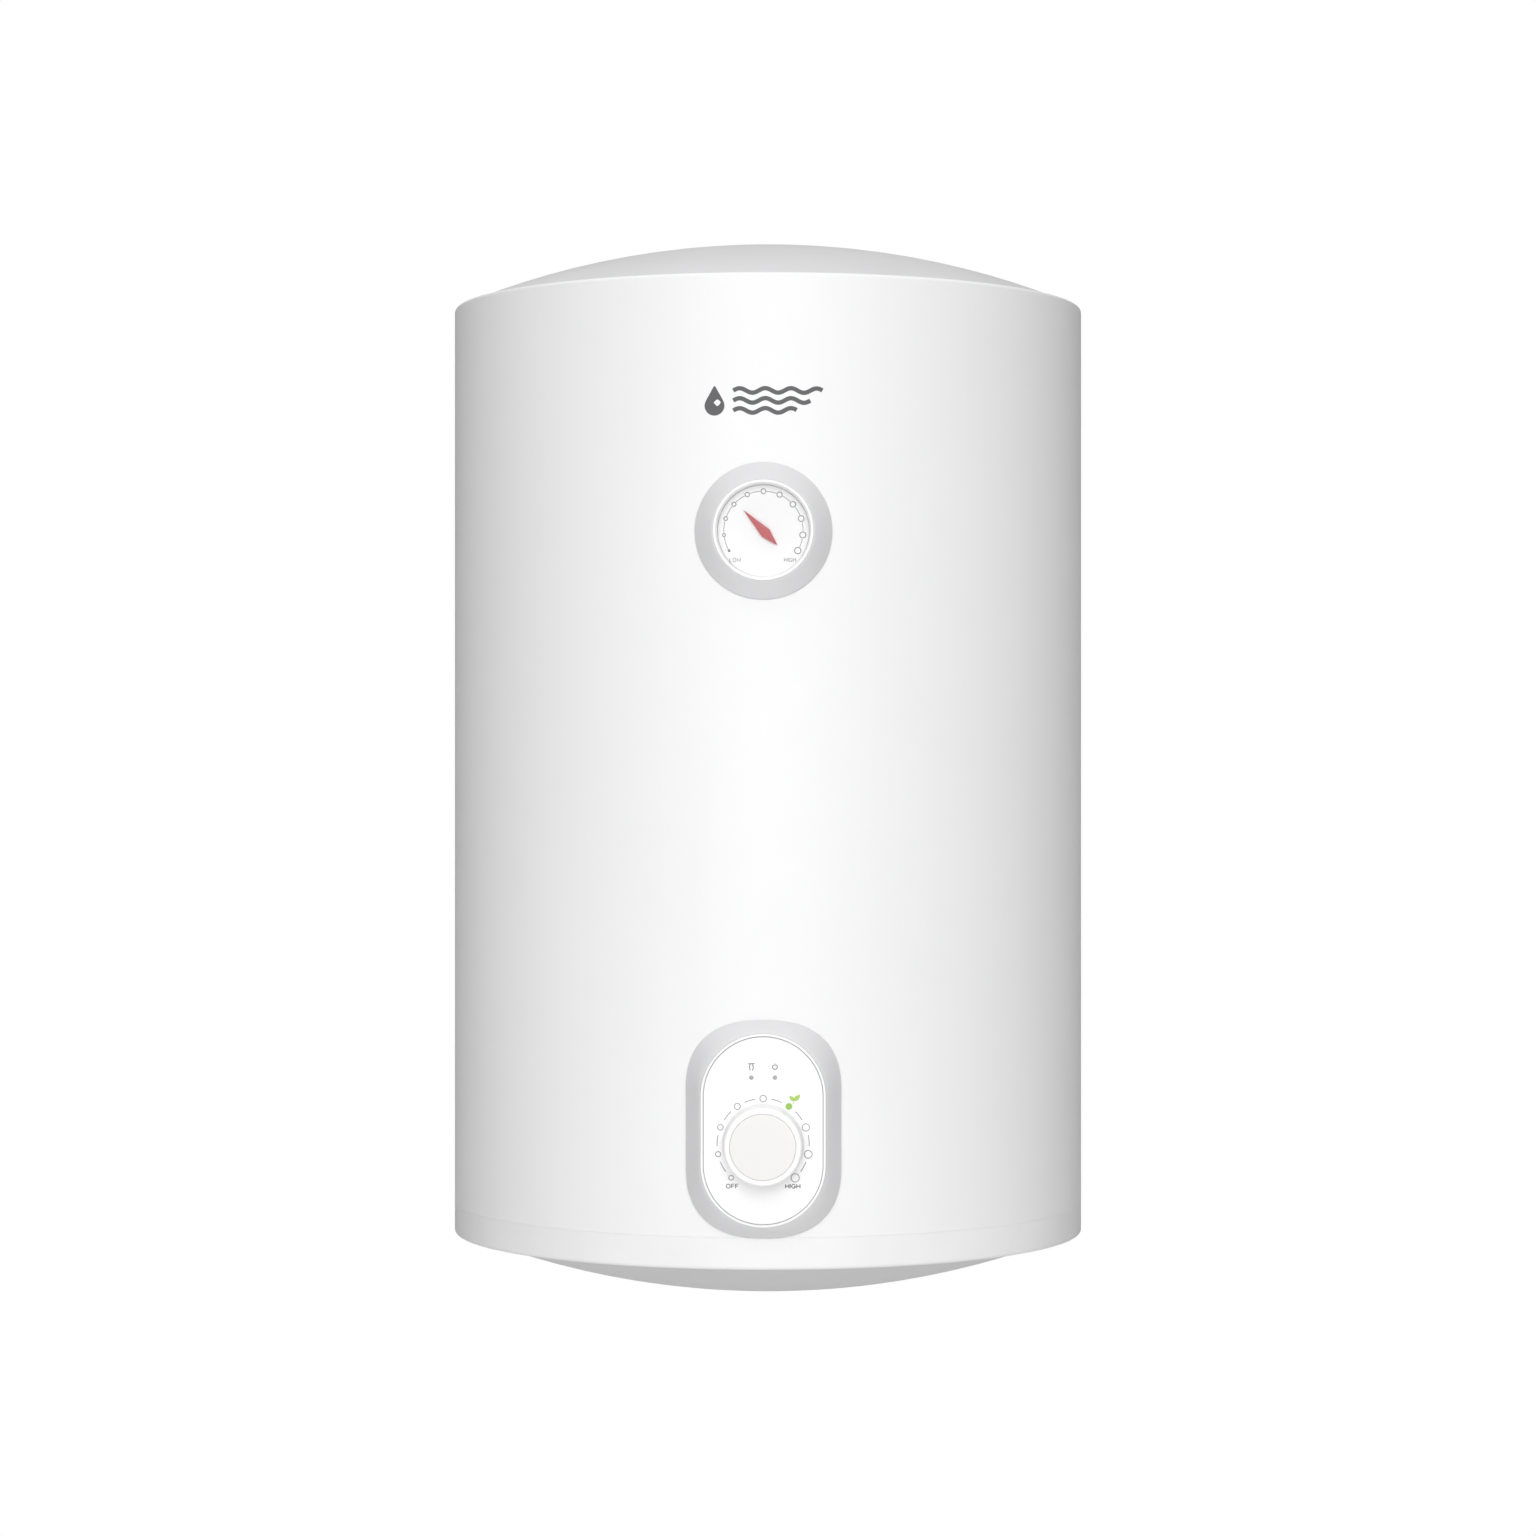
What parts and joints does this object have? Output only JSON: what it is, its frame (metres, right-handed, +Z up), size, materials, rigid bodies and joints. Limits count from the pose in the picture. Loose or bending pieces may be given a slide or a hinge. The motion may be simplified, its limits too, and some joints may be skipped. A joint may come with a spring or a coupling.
{
  "type": "electric tank water heater",
  "caption": "Wall-hung electric storage water heater: white cylindrical casing, shallow grey domed ends, dial thermometer, and a control panel with a rotary knob.",
  "frame": {"origin": "on the wall plane, at the centre of the four hanger holes, midway up the white body", "axes": "+Z up (the pipes leave along -Z), the front faces -Y, +Y points into the wall"},
  "size_m": [0.45, 0.4935, 0.7556],
  "materials": {
    "casing_white": "white powder coat",
    "pan_white": "white moulded plastic",
    "cover_grey": "pale grey moulded plastic",
    "trim_grey": "light grey moulded plastic",
    "fascia_white": "white moulded plastic",
    "knob_cream": "cream moulded plastic",
    "foam": "rigid polyurethane foam",
    "enamel_blue": "vitreous enamel on steel",
    "zinc_steel": "zinc-plated steel",
    "copper": "copper",
    "brass": "brass",
    "magnesium": "extruded magnesium",
    "black_rubber": "moulded rubber",
    "ivory_ceramic": "unglazed ceramic",
    "ivory_plastic": "ivory moulded plastic",
    "black_plastic": "black moulded plastic",
    "dark_grey_plastic": "dark grey moulded plastic",
    "board_green": "glass-fibre board",
    "lamp_clear": "frosted light pipe",
    "clear_glass": "clear glass",
    "dial_white": "matt white paint",
    "needle_red": "red paint",
    "mark_blue": "blue moulded plastic",
    "mark_red": "red moulded plastic",
    "button_red": "red moulded plastic",
    "wire_brown": "PVC insulation",
    "wire_blue": "PVC insulation",
    "wire_green": "green and yellow PVC insulation"
  },
  "bodies": {
    "heater": {"outer_casing": "casing_white", "top_cover": "cover_grey", "bottom_pan": "pan_white", "bottom_cover": "cover_grey", "cover_screws": "zinc_steel", "insulation_foam": "foam", "inner_tank": "enamel_blue", "tank_flange_collar": "zinc_steel", "flange_gasket": "black_rubber", "heater_flange": "zinc_steel", "flange_bolts": "zinc_steel", "heating_element": "copper", "element_terminals": "ivory_ceramic", "sensor_pocket": "copper", "anode_rod": "magnesium", "anode_nut": "zinc_steel", "cold_inlet_nipple": "zinc_steel", "hot_outlet_nipple": "zinc_steel", "inlet_diffuser": "ivory_plastic", "outlet_tube": "zinc_steel", "inlet_collar": "mark_blue", "outlet_collar": "mark_red", "control_bezel": "trim_grey", "control_fascia": "fascia_white", "control_housing": "dark_grey_plastic", "thermostat_body": "ivory_plastic", "thermostat_bracket": "zinc_steel", "bracket_screws": "zinc_steel", "thermostat_bulb": "copper", "indicator_board": "board_green", "power_lamp": "lamp_clear", "heating_lamp": "lamp_clear", "gauge_bezel": "trim_grey", "gauge_rim": "fascia_white", "gauge_lens": "clear_glass", "gauge_dial": "dial_white", "gauge_housing": "pan_white", "gauge_movement": "zinc_steel", "gauge_probe": "copper", "safety_cutout": "black_plastic", "cutout_bulb": "copper", "terminal_block": "ivory_plastic", "terminal_screws": "brass", "cable_gland": "black_plastic", "gland_nut": "black_plastic", "upper_hanger": "zinc_steel", "lower_hanger": "zinc_steel", "hanger_pads": "zinc_steel", "hanger_studs": "zinc_steel", "hanger_nuts": "zinc_steel", "live_wires": "wire_brown", "neutral_wires": "wire_blue", "earth_wire": "wire_green", "earth_screw": "brass"},
    "knob": {"control_knob": "fascia_white", "knob_cap": "knob_cream", "thermostat_spindle": "brass"},
    "needle": {"gauge_needle": "needle_red", "gauge_spindle": "brass"},
    "reset_button": {"cutout_reset_button": "button_red"}
  },
  "joints": [
    {"name": "knob_turn", "type": "hinge", "parent": "heater", "child": "knob", "pos_m": [0, -0.462, -0.2456], "axis": [0, 1, 0], "range_deg": [0, 272]},
    {"name": "needle_turn", "type": "hinge", "parent": "heater", "child": "needle", "pos_m": [0, -0.462, 0.1587], "axis": [0, 1, 0], "range_deg": [-76, 164], "stiffness_Nm_per_rad": 0.002},
    {"name": "reset_press", "type": "slide", "parent": "heater", "child": "reset_button", "axis": [0, 0, 1], "range_m": [0, 0.0015], "stiffness_N_per_m": 600}
  ]
}
